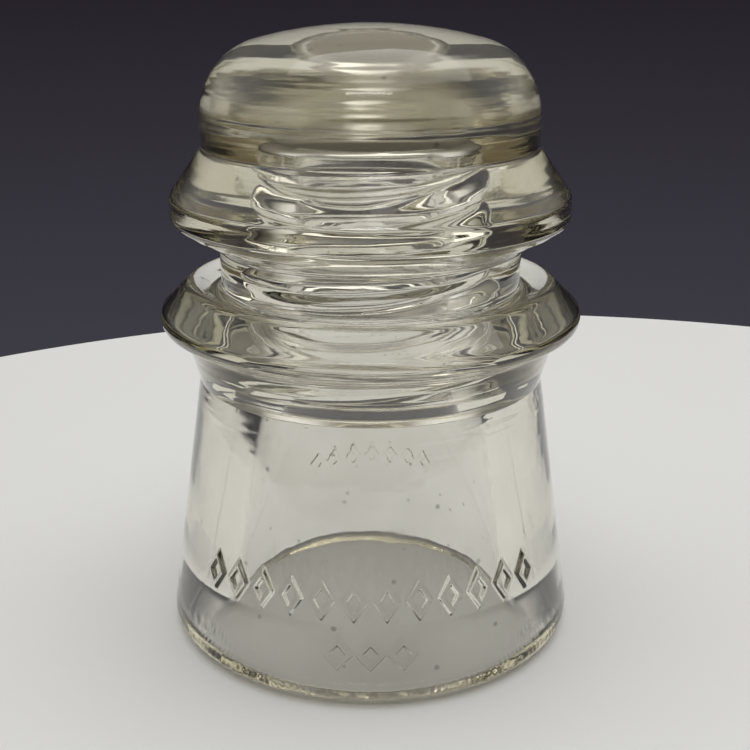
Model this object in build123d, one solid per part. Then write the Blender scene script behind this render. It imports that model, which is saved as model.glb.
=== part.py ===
from build123d import *
import math
import os

# Pin-type wire insulator: one pressed piece of clear glass, millimetres, +Z up.
# The origin is the centre of the ring that the skirt stands on.

INCH = 25.4

# Overall height
height = 4 * INCH

# Crown: a shallow dome, a round shoulder and a straight side
crown_radius = 27.2
dome_radius = 72.0
shoulder_radius = 12.35

# Upper flange, above the wire groove
upper_flange_root_z = 82.75
upper_flange_radius = 32.6
upper_flange_top_z = 75.2
upper_flange_low_z = 71.5
upper_flange_under_radius = 31.0
upper_flange_under_z = 70.3

# Wire groove
neck_top_radius = 24.9
neck_top_z = 67.1
neck_low_radius = 24.6
neck_low_z = 58.65

# Lower flange: a raised bead just outside the groove, then the widest lip
bead_radius = 29.8
bead_z = 61.35
lower_flange_radius = 36.35
lower_flange_z = 54.9
lower_flange_under_radius = 30.85
lower_flange_under_z = 52.15

# Skirt
skirt_top_radius = 28.8
skirt_top_z = 44.85
skirt_base_radius = 35.3

# Roundings of the outline
root_round = 1.5
flange_round = 2.3
flange_low_round = 1.1
neck_round = 1.2
bead_round = 2.1
lip_round = 2.2
lip_low_round = 1.6
skirt_top_round = 0.5
base_outer_round = 3.2

# Cavity inside the skirt
cavity_base_radius = 27.3
cavity_base_round = 2.4
cavity_waist_radius = 23.6
cavity_waist_z = 9.0
cavity_waist_round = 14.0
cavity_top_radius = 18.1
cavity_top_z = 43.0
cavity_top_round = 1.5
cut_below = 5.0

# Pinhole for a one-inch pin: a plain entry, a tapered thread, and a plain blind end
entry_radius = 14.6
entry_z = 44.0
entry_length = 2.0
thread_pitch = INCH / 4
thread_taper = 1 / 16
thread_depth = 1.25
thread_width = 4.4
thread_low_radius = 13.2
thread_end_z = 80.0
blind_end_z = 83.7
blind_end_round = 1.0


def rounded_face(edges, corners):
    """Flat face in the (radius, z) plane inside these edges, with its corners rounded."""
    face = make_face(edges)
    for radius, z, rounding in corners:
        corner = face.vertices().sort_by_distance((radius, z))[0]
        face = fillet(corner, rounding)
    return face


def turned(face):
    """The solid that a (radius, z) face sweeps in one full turn about the Z axis."""
    return revolve(Plane.XZ * face, Axis.Z, 360)


def glass_outside():
    """The piece as a full solid, before the cavity and the pinhole are cut."""
    dome_centre_z = height - dome_radius
    shoulder_centre_r = crown_radius - shoulder_radius
    centre_gap = dome_radius - shoulder_radius
    rise = math.sqrt(centre_gap**2 - shoulder_centre_r**2)
    shoulder_z = dome_centre_z + rise
    join_angle = math.degrees(math.atan2(rise, shoulder_centre_r))

    dome = CenterArc((0, dome_centre_z), dome_radius, join_angle, 90 - join_angle)
    shoulder = CenterArc(
        (shoulder_centre_r, shoulder_z), shoulder_radius, 0, join_angle
    )
    corners = [
        (crown_radius, upper_flange_root_z, root_round),
        (upper_flange_radius, upper_flange_top_z, flange_round),
        (upper_flange_radius, upper_flange_low_z, flange_low_round),
        (upper_flange_under_radius, upper_flange_under_z, flange_low_round),
        (neck_top_radius, neck_top_z, neck_round),
        (neck_low_radius, neck_low_z, neck_round),
        (bead_radius, bead_z, bead_round),
        (lower_flange_radius, lower_flange_z, lip_round),
        (lower_flange_under_radius, lower_flange_under_z, lip_low_round),
        (skirt_top_radius, skirt_top_z, skirt_top_round),
        (skirt_base_radius, 0, base_outer_round),
    ]
    side = Polyline(
        (crown_radius, shoulder_z),
        *[(radius, z) for radius, z, _ in corners],
        (0, 0),
        (0, height),
    )
    return turned(rounded_face([dome, shoulder, side], corners))


def thread_radius(z):
    """Radius of the thread's crest at this height."""
    return thread_low_radius - (z - entry_z - entry_length) * thread_taper / 2


def cavity():
    """The hollow inside the skirt, with the smooth wall of the pinhole above it."""
    thread_low_z = entry_z + entry_length
    end_radius = thread_radius(blind_end_z)
    clear_radius = cavity_base_radius + cavity_base_round
    corners = [
        (cavity_base_radius, 0, cavity_base_round),
        (cavity_waist_radius, cavity_waist_z, cavity_waist_round),
        (cavity_top_radius, cavity_top_z, cavity_top_round),
        (end_radius, blind_end_z, blind_end_round),
    ]
    outline = Polyline(
        (0, -cut_below),
        (clear_radius, -cut_below),
        (clear_radius, 0),
        (cavity_base_radius, 0),
        (cavity_waist_radius, cavity_waist_z),
        (cavity_top_radius, cavity_top_z),
        (entry_radius, entry_z),
        (entry_radius, thread_low_z),
        (thread_low_radius, thread_low_z),
        (end_radius, blind_end_z),
        (0, blind_end_z),
        (0, -cut_below),
    )
    return turned(rounded_face([outline], corners))


def thread_groove():
    """A round-bottomed groove on the pin's taper, as a coiled bar to cut away."""
    low_z = entry_z + entry_length - thread_pitch
    length = thread_end_z - low_z
    bar_radius = (thread_width**2 / 4 + thread_depth**2) / (2 * thread_depth)
    sunk = bar_radius - thread_depth
    start_radius = thread_radius(low_z) - sunk
    cone_angle = -math.degrees(math.atan(thread_taper / 2))
    path = Pos(0, 0, low_z) * Helix(
        thread_pitch, length, start_radius, cone_angle=cone_angle
    )
    section = Plane(origin=path @ 0, z_dir=path % 0) * Circle(bar_radius)
    return sweep(section, path=path)


def glass_body():
    return glass_outside() - cavity() - thread_groove()


if __name__ == "__main__":
    os.makedirs("parts", exist_ok=True)
    export_step(glass_body(), "parts/glass_body.step")
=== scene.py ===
import math

import bmesh
import bpy
import numpy as np
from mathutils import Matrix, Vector


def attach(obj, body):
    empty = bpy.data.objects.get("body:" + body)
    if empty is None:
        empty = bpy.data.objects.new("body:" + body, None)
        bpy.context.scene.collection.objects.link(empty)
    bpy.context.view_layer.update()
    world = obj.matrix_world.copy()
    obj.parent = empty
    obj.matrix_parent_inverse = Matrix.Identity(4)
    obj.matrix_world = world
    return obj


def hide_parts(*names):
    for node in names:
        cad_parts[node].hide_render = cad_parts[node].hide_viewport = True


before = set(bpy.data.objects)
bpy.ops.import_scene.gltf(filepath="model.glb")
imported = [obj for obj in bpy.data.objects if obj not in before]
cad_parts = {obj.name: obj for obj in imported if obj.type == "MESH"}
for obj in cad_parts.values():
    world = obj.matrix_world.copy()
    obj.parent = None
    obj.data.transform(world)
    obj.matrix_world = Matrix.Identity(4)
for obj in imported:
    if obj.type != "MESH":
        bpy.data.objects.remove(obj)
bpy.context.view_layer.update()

MM = 0.001
TURN = 2 * math.pi
FRONT = -math.pi / 2
BACK = math.pi / 2

# ---------------------------------------------------------------- outline, in millimetres
HEIGHT = 101.6
CROWN_RADIUS = 27.2
DOME_RADIUS = 72.0
SHOULDER_RADIUS = 12.35
BLIND_END_Z = 83.7
# (radius, z, rounding) down the outside, from the crown's side to the base
OUTSIDE = [
    (CROWN_RADIUS, 82.75, 1.5),
    (32.6, 75.2, 2.3),
    (32.6, 71.5, 1.1),
    (31.0, 70.3, 1.1),
    (24.9, 67.1, 1.2),
    (24.6, 58.65, 1.2),
    (29.8, 61.35, 2.1),
    (36.35, 54.9, 2.2),
    (30.85, 52.15, 1.6),
    (28.8, 44.85, 0.5),
    (35.3, 0.0, 3.2),
]
# (radius, z, rounding) up the inside, from the base to the pinhole's blind end
INSIDE = [
    (27.3, 0.0, 2.4),
    (23.6, 9.0, 14.0),
    (18.1, 43.0, 1.5),
    (14.6, 44.0, 0.5),
    (14.6, 46.0, 0.4),
    (13.2, 46.0, 0.3),
    (12.022, BLIND_END_Z, 1.0),
]

# The thread's groove in the pinhole's wall
THREAD_PITCH = 6.35
THREAD_LOW_Z = 39.65
THREAD_START_Z = 45.5
THREAD_END_Z = 80.0
THREAD_DEPTH = 1.25
THREAD_FADE = 2.5
THREAD_FLATTEN = 1.15

# How finely the mesh is divided, along the outline and then round it
CORNER_POINTS = 9
DOME_POINTS = 24
SHOULDER_POINTS = 30
PROFILE_STEP = 0.4
MARK_STEP = 0.2
MARK_BAND = (6.0, 22.0)
MARK_SIDES = 420
MARK_HALF_TURN = math.radians(63)
PLAIN_SIDES = 300
# A rounding takes up less than half of the straight line on either side of its corner
REACH_LIMIT = 0.49
# In metres: the points on the axis are merged
MERGE_WITHIN = 1e-6

# Raised marks on the skirt: plain lozenge outlines in rows of
# (middle angle, height of the row, how many, spacing, half width, half height, raised by)
MARK_ROWS = [
    (FRONT, 17.8, 12, 5.1, 1.6, 2.5, 0.6),
    (FRONT, 9.4, 3, 5.0, 1.8, 2.0, 0.6),
    (BACK, 19.0, 7, 5.1, 1.5, 2.0, 0.4),
]
MARK_RADIUS = 33.0
MARK_EDGE = 0.5
MARK_STROKE = 0.8

# Mould seams, one down each side
SEAM_HEIGHT = 0.12
SEAM_WIDTH = 0.4

# Unevenness of pressed glass: sums of sine waves, each kind as
# (seed, most waves in one turn, typical rate of turning along the outline, depth)
WAVE_COUNT = 10
WAVE_SUM_SIZE = 4
INNER_SWELL = (5, 7, 0.14, 0.035)
INNER_FINE = (8, 30, 0.9, 0.003)
OUTER_SWELL = (3, 6, 0.12, 0.03)
OUTER_FINE = (4, 26, 0.8, 0.006)
OUTER_SET_BACK = 0.03
STEADY_RADIUS = 12
BASE_FLAT_Z = 0.2
BASE_FADE = 4

# Close ripples above the skirt, rings over the dome and grain just above the base
RIPPLES = (6, 3, 4.0, 0.018)
RIPPLES_LOW_Z = 38.0
RIPPLES_FADE = 4
DOME_RINGS = (12, 5, 2.0, 0.018)
DOME_RINGS_LOW_Z = 94.0
DOME_RINGS_FADE = 2
DOME_RINGS_RADIUS = 8
GRAIN = (11, 190, 2.5, 0.02)
GRAIN_LOW_FADE = 0.8
GRAIN_TOP_Z = 4.5
GRAIN_TOP_FADE = 2

# A low ring pressed into the pinhole's blind end
END_RING_RADIUS = 10.4
END_RING_WIDTH = 0.6
END_RING_HEIGHT = 0.45
END_DEPTH = 0.3


# ---------------------------------------------------------------- the outline as points
def rounded(corners):
    """Points along a line through these corners, with each inner corner rounded."""
    points = []
    at = [np.array(c[:2], float) for c in corners]
    for i, (_, _, rounding) in enumerate(corners):
        if rounding == 0 or i in (0, len(corners) - 1):
            points.append(at[i])
            continue
        before = at[i - 1] - at[i]
        after = at[i + 1] - at[i]
        long_before = np.linalg.norm(before)
        long_after = np.linalg.norm(after)
        before /= long_before
        after /= long_after
        half = math.acos(float(np.clip(before @ after, -1, 1))) / 2
        most = REACH_LIMIT * min(long_before, long_after)
        reach = min(rounding / math.tan(half), most)
        radius = reach * math.tan(half)
        middle = (before + after) / np.linalg.norm(before + after)
        centre = at[i] + middle * radius / math.sin(half)
        start = at[i] + before * reach - centre
        end = at[i] + after * reach - centre
        a0 = math.atan2(start[1], start[0])
        a1 = math.atan2(end[1], end[0])
        sweep = (a1 - a0 + math.pi) % TURN - math.pi
        for k in range(CORNER_POINTS):
            a = a0 + sweep * k / (CORNER_POINTS - 1)
            points.append(centre + radius * np.array([math.cos(a), math.sin(a)]))
    return points


def spaced(points, step, band=(-math.inf, math.inf)):
    """The same line with points no further apart than step inside this band of z."""
    out = [points[0]]
    for p, q in zip(points[:-1], points[1:]):
        in_band = band[0] < (p[1] + q[1]) / 2 < band[1]
        parts = max(1, math.ceil(np.linalg.norm(q - p) / step)) if in_band else 1
        out += [p + (q - p) * k / parts for k in range(1, parts + 1)]
    return out


def arc(centre_r, centre_z, radius, start, end, count):
    """Points round an arc in the (radius, z) plane."""
    return [
        np.array([centre_r + radius * math.cos(a), centre_z + radius * math.sin(a)])
        for a in np.linspace(start, end, count)
    ]


def crown_arc():
    """The dome and its shoulder, from the axis out to the crown's straight side."""
    dome_z = HEIGHT - DOME_RADIUS
    shoulder_r = CROWN_RADIUS - SHOULDER_RADIUS
    rise = math.sqrt((DOME_RADIUS - SHOULDER_RADIUS) ** 2 - shoulder_r**2)
    join = math.atan2(rise, shoulder_r)
    dome = arc(0, dome_z, DOME_RADIUS, math.pi / 2, join, DOME_POINTS)
    shoulder = arc(shoulder_r, dome_z + rise, SHOULDER_RADIUS, join, 0, SHOULDER_POINTS)
    return dome + shoulder[1:]


# ---------------------------------------------------------------- relief on the surface
def waves(kind, th, along):
    """A smooth seeded unevenness over the surface, mostly within the kind's depth."""
    seed, most_in_turn, rate, depth = kind
    rng = np.random.default_rng(seed)
    total = 0
    for _ in range(WAVE_COUNT):
        n = int(rng.integers(0, most_in_turn + 1))
        k = rng.normal() * rate
        phase = rng.uniform(0, TURN)
        total = total + np.sin(n * th + k * along + phase)
    return depth * (total / WAVE_SUM_SIZE)


def smooth_step(x):
    """0 below 0 and 1 above 1, with a smooth slope between."""
    x = np.clip(x, 0, 1)
    return x * x * (3 - 2 * x)


def hump(x):
    """A smooth rise to 1 at 0, which has nearly gone 2 away from it."""
    return np.exp(-(x**2))


def turn_from(th, middle):
    """Angle from this middle, between minus and plus half a turn."""
    return (th - middle + math.pi) % TURN - math.pi


def thread(th, z):
    """Depth of the thread's groove."""
    turn = (z - THREAD_LOW_Z) / THREAD_PITCH - th / TURN
    groove = np.clip(THREAD_FLATTEN * (0.5 + 0.5 * np.cos(TURN * turn)), 0, 1)
    start = smooth_step((z - THREAD_START_Z) / THREAD_FADE)
    end = smooth_step((THREAD_END_Z - z) / THREAD_FADE)
    return THREAD_DEPTH * groove * (start * end)


def marks(th, z):
    """Height of the raised lozenges over the skirt."""
    total = 0
    for middle, row_z, count, spacing, half_width, half_height, height in MARK_ROWS:
        slope = math.hypot(1 / half_width, 1 / half_height)
        for k in range(count):
            across = MARK_RADIUS * turn_from(th, middle) - (k - (count - 1) / 2) * spacing
            out = np.abs(across) / half_width + np.abs(z - row_z) / half_height - 1
            gap = np.abs(out / slope) - MARK_STROKE / 2
            total = total + height * smooth_step(0.5 - gap / MARK_EDGE)
    return total


def seams(th, r):
    """Height of the two mould seams."""
    return sum(
        SEAM_HEIGHT * hump(r * turn_from(th, middle) / SEAM_WIDTH) for middle in (0, math.pi)
    )


# ---------------------------------------------------------------- the glass
def glass_mesh():
    """The outline turned about the axis, with the thread and the relief on it."""
    top = crown_arc()
    side = rounded([(*top[-1], 0)] + OUTSIDE + [INSIDE[0]])[1:-1]
    hollow = rounded([OUTSIDE[-1]] + INSIDE + [(0.0, BLIND_END_Z, 0)])[1:]
    outer = spaced(spaced(top + side + [hollow[0]], PROFILE_STEP), MARK_STEP, MARK_BAND)
    inner = spaced(hollow, PROFILE_STEP)[1:]
    line = np.array(outer + inner)
    is_inner = (np.arange(len(line)) >= len(outer))[:, None]

    # closer together across the front, where the marks are
    low, high = FRONT - MARK_HALF_TURN, FRONT + MARK_HALF_TURN
    marked = np.linspace(low, high, MARK_SIDES, endpoint=False)
    plain = np.linspace(high, low + TURN, PLAIN_SIDES, endpoint=False)
    th = np.concatenate([marked, plain])[None, :]
    sides = th.size
    r = np.repeat(line[:, :1], sides, 1)
    z = np.repeat(line[:, 1:], sides, 1)

    r = r + np.where(is_inner, thread(th, z), 0)

    # uneven glass, steady near the axis and at the base
    near_axis = np.clip(r / STEADY_RADIUS, 0, 1)
    off_base = smooth_step((z - BASE_FLAT_Z) / BASE_FADE)
    ripples = waves(RIPPLES, th, z) * smooth_step((z - RIPPLES_LOW_Z) / RIPPLES_FADE)
    uneven = np.where(
        is_inner,
        waves(INNER_SWELL, th, z) + waves(INNER_FINE, th, z),
        -OUTER_SET_BACK + waves(OUTER_SWELL, th, z) + waves(OUTER_FINE, th, z) + ripples,
    )
    r = r + uneven * near_axis * off_base
    low_fade = smooth_step(z / GRAIN_LOW_FADE)
    top_fade = smooth_step((GRAIN_TOP_Z - z) / GRAIN_TOP_FADE)
    r = r + waves(GRAIN, th, z) * (low_fade * top_fade)
    r = r + np.where(is_inner, 0, marks(th, z) + seams(th, r) * near_axis) * off_base

    # rings over the dome
    on_dome = ~is_inner & (z > DOME_RINGS_LOW_Z)
    rings = waves(DOME_RINGS, th, r) * smooth_step(r / DOME_RINGS_RADIUS)
    rings_fade = smooth_step((z - DOME_RINGS_LOW_Z) / DOME_RINGS_FADE)
    z = z + np.where(on_dome, rings * rings_fade, 0)

    # the ring in the blind end
    at_end = is_inner & (z > BLIND_END_Z - END_DEPTH)
    end_ring = END_RING_HEIGHT * hump((r - END_RING_RADIUS) / END_RING_WIDTH)
    z = z + np.where(at_end, end_ring, 0)

    verts = np.stack([r * np.cos(th), r * np.sin(th), z], -1).reshape(-1, 3) * MM
    ring = np.arange(len(line) - 1)[:, None] * sides
    j = np.arange(sides)[None, :]
    k = (j + 1) % sides
    faces = np.stack([ring + j, ring + k, ring + sides + k, ring + sides + j], -1)
    mesh = bpy.data.meshes.new("glass_insulator")
    mesh.from_pydata(verts.tolist(), [], faces.reshape(-1, 4).tolist())
    bm = bmesh.new()
    bm.from_mesh(mesh)
    bmesh.ops.remove_doubles(bm, verts=bm.verts, dist=MERGE_WITHIN)
    bmesh.ops.recalc_face_normals(bm, faces=bm.faces)
    bm.to_mesh(mesh)
    bm.free()
    for face in mesh.polygons:
        face.use_smooth = True
    return mesh


# ---------------------------------------------------------------- nodes
def feed(tree, made, inputs):
    """Link each input to a socket, or set it to a value."""
    for name, value in inputs.items():
        if isinstance(value, bpy.types.NodeSocket):
            tree.links.new(value, made.inputs[name])
        else:
            made.inputs[name].default_value = value


def node(tree, kind, inputs, **settings):
    """A new node with these settings and these inputs."""
    made = tree.nodes.new(kind)
    for name, value in settings.items():
        setattr(made, name, value)
    feed(tree, made, inputs)
    return made


def map_range(tree, value, low, high, to_low=0.0, to_high=1.0, kind="SMOOTHSTEP"):
    """The value between low and high, as an amount between to_low and to_high."""
    inputs = {
        "Value": value, "From Min": low, "From Max": high, "To Min": to_low, "To Max": to_high,
    }
    return node(tree, "ShaderNodeMapRange", inputs, interpolation_type=kind).outputs["Result"]


def colour_ramp(tree, amount, stops):
    """Colour by amount; stops are (amount, colour)."""
    made = node(tree, "ShaderNodeValToRGB", {"Fac": amount})
    elements = made.color_ramp.elements
    while len(elements) < len(stops):
        elements.new(1.0)
    for element, (position, colour) in zip(elements, stops):
        element.position = position
        element.color = (*colour, 1)
    return made.outputs["Color"]


def mixed(tree, amount, first, second):
    """The first colour into the second, by amount."""
    # a colour mix has its factor at input 0, its colours at 6 and 7, and its result at 2
    mix = node(tree, "ShaderNodeMix", {0: amount, 6: first, 7: second}, data_type="RGBA")
    return mix.outputs[2]


def noise(tree, place, scale, detail):
    made = node(tree, "ShaderNodeTexNoise", {"Vector": place, "Scale": scale, "Detail": detail})
    return made.outputs["Fac"]


def new_material(name):
    """A material, its tree, its shader, and the place on the object as a socket."""
    mat = bpy.data.materials.new(name)
    mat.use_nodes = True
    tree = mat.node_tree
    place = node(tree, "ShaderNodeTexCoord", {}).outputs["Object"]
    return mat, tree, tree.nodes["Principled BSDF"], place


# ---------------------------------------------------------------- materials
def film_roughness(tree, place, film):
    """Roughness of an uneven film, a little more of it on the crown's side."""
    thickness = map_range(tree, film, 0.4, 0.75, 0.01, 0.12, "LINEAR")
    height = node(tree, "ShaderNodeSeparateXYZ", {0: place}).outputs["Z"]
    dusty = map_range(tree, height, 0.072, 0.09, 0.0, 0.05)
    level = node(tree, "ShaderNodeVectorMath", {0: place, 1: (1, 1, 0)}, operation="MULTIPLY")
    from_axis = node(tree, "ShaderNodeVectorMath", {0: level.outputs[0]}, operation="LENGTH")
    outer_side = map_range(tree, from_axis.outputs["Value"], 0.014, 0.024)
    inputs = {0: dusty, 1: outer_side, 2: thickness}
    return node(tree, "ShaderNodeMath", inputs, operation="MULTIPLY_ADD").outputs[0]


def dirty_colour(tree, place, film):
    """The film's faint colour, with a few specks of dirt in it."""
    clear = colour_ramp(tree, film, [(0.4, (1, 1, 1)), (0.8, (0.90, 0.90, 0.885))])
    cells = node(tree, "ShaderNodeTexVoronoi", {"Vector": place, "Scale": 170})
    speck = map_range(tree, cells.outputs["Distance"], 0.05, 0.09, 0.35, 1.0, "LINEAR")
    inputs = {0: clear, "Scale": speck}
    return node(tree, "ShaderNodeVectorMath", inputs, operation="SCALE").outputs[0]


def glass_material():
    mat, tree, shader, place = new_material("pressed_glass")
    film = noise(tree, place, 70, 5)
    ripple = noise(tree, place, 150, 3)
    bump = node(
        tree, "ShaderNodeBump", {"Strength": 0.06, "Distance": 0.0004, "Height": ripple}
    )
    feed(tree, shader, {
        "Transmission Weight": 1.0,
        "IOR": 1.5,
        "Coat Weight": 0.3,
        "Coat Roughness": 0.03,
        "Roughness": film_roughness(tree, place, film),
        "Base Color": dirty_colour(tree, place, film),
        "Normal": bump.outputs["Normal"],
    })
    tint = node(
        tree, "ShaderNodeVolumeAbsorption", {"Color": (0.61, 0.55, 0.26, 1), "Density": 12.0}
    )
    feed(tree, tree.nodes["Material Output"], {"Volume": tint.outputs[0]})
    return mat


def floor_material():
    mat, tree, shader, place = new_material("pale_table")
    pale = colour_ramp(tree, noise(tree, place, 9, 2), [
        (0.0, (0.80, 0.815, 0.83)),
        (1.0, (0.84, 0.855, 0.87)),
    ])
    feed(tree, shader, {"Roughness": 0.55, "Base Color": pale})
    return mat


# ---------------------------------------------------------------- the object
glass = bpy.data.objects.new("glass_insulator", glass_mesh())
bpy.context.scene.collection.objects.link(glass)
glass.data.materials.append(glass_material())
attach(glass, "root")
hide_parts("glass_body")


# ---------------------------------------------------------------- the floor, in metres
TABLE_RADIUS = 0.245
TABLE_THICKNESS = 0.02
TABLE_CENTRE = (0.035, -0.055)
TABLE_SIDES = 256


def table_mesh():
    bm = bmesh.new()
    bmesh.ops.create_cone(
        bm,
        cap_ends=True,
        segments=TABLE_SIDES,
        radius1=TABLE_RADIUS,
        radius2=TABLE_RADIUS,
        depth=TABLE_THICKNESS,
    )
    mesh = bpy.data.meshes.new("floor")
    bm.to_mesh(mesh)
    bm.free()
    return mesh


floor = bpy.data.objects.new("floor", table_mesh())
floor.location = (*TABLE_CENTRE, -TABLE_THICKNESS / 2)
bpy.context.scene.collection.objects.link(floor)
floor.data.materials.append(floor_material())


# ---------------------------------------------------------------- the room's light
# The upward part of a direction is -1 straight down and 1 straight up
LOWEST = -0.3
# (upward part of the direction, colour) behind the object and on the camera's side
ROOM_BEHIND = [
    (LOWEST, (0.048, 0.047, 0.060)),
    (-0.03, (0.020, 0.016, 0.022)),
    (0.13, (0.085, 0.080, 0.072)),
    (0.48, (0.27, 0.255, 0.22)),
    (1.0, (0.62, 0.60, 0.56)),
]
ROOM_IN_FRONT = [
    (LOWEST, (0.16, 0.14, 0.10)),
    (0.45, (0.21, 0.175, 0.125)),
    (0.7, (0.40, 0.37, 0.32)),
    (1.0, (0.62, 0.60, 0.56)),
]
SIDE_GLOW = (1.0, 1.0, 0.99, 1)


def room_ramp(tree, rise, stops):
    """The room's colour by rise, which is 0 at LOWEST and 1 straight up."""
    placed = [((upward - LOWEST) / (1 - LOWEST), colour) for upward, colour in stops]
    return colour_ramp(tree, rise, placed)


world = bpy.data.worlds.new("studio")
bpy.context.scene.world = world
world.use_nodes = True
sky = world.node_tree
direction = node(sky, "ShaderNodeTexCoord", {}).outputs["Generated"]
part = node(sky, "ShaderNodeSeparateXYZ", {0: direction}).outputs
rise = map_range(sky, part["Z"], LOWEST, 1.0, kind="LINEAR")
behind = room_ramp(sky, rise, ROOM_BEHIND)
in_front = room_ramp(sky, rise, ROOM_IN_FRONT)
room = mixed(sky, map_range(sky, part["Y"], 0.1, -0.5), behind, in_front)

# a soft glow from both sides
sideways = node(sky, "ShaderNodeMath", {0: part["X"]}, operation="ABSOLUTE").outputs[0]
across = map_range(sky, sideways, 0.45, 0.95)
upward = map_range(sky, part["Z"], 0.0, 0.4)
glow = node(sky, "ShaderNodeMath", {0: across, 1: upward}, operation="MULTIPLY").outputs[0]
feed(sky, sky.nodes["Background"], {"Color": mixed(sky, glow, room, SIDE_GLOW)})


# ---------------------------------------------------------------- lamps and camera
def soft_light(name, place, aim, size, power, colour):
    light = bpy.data.lights.new(name, "AREA")
    light.shape = "RECTANGLE"
    light.size, light.size_y = size
    light.energy = power
    light.color = colour
    lamp = bpy.data.objects.new(name, light)
    lamp.location = place
    lamp.rotation_euler = (Vector(aim) - Vector(place)).to_track_quat("-Z", "Y").to_euler()
    bpy.context.scene.collection.objects.link(lamp)


soft_light(
    "overhead", place=(0.1, 0.1, 1.2), aim=(0, 0, 0), size=(1.4, 1.4),
    power=6.6, colour=(1.0, 0.995, 0.99),
)
soft_light(
    "window", place=(-0.02, -0.85, 1.22), aim=(0, 0, 0.06), size=(0.65, 0.12),
    power=1.5, colour=(1.0, 0.99, 0.98),
)

DOWNWARD_DEGREES = 18.75
camera = bpy.data.objects.new("camera", bpy.data.cameras.new("camera"))
camera.location = (0, -0.2045, 0.1129)
camera.rotation_euler = (math.radians(90 - DOWNWARD_DEGREES), 0, 0)
camera.data.lens = 60.6
camera.data.sensor_width = 36
camera.data.clip_start = 0.01
camera.data.shift_x = 0.006
bpy.context.scene.collection.objects.link(camera)
bpy.context.scene.camera = camera

bpy.context.scene.view_settings.view_transform = "Standard"

# light crosses the glass's walls many times
cycles = bpy.context.scene.cycles
cycles.max_bounces = 20
cycles.transmission_bounces = 20
cycles.transparent_max_bounces = 12
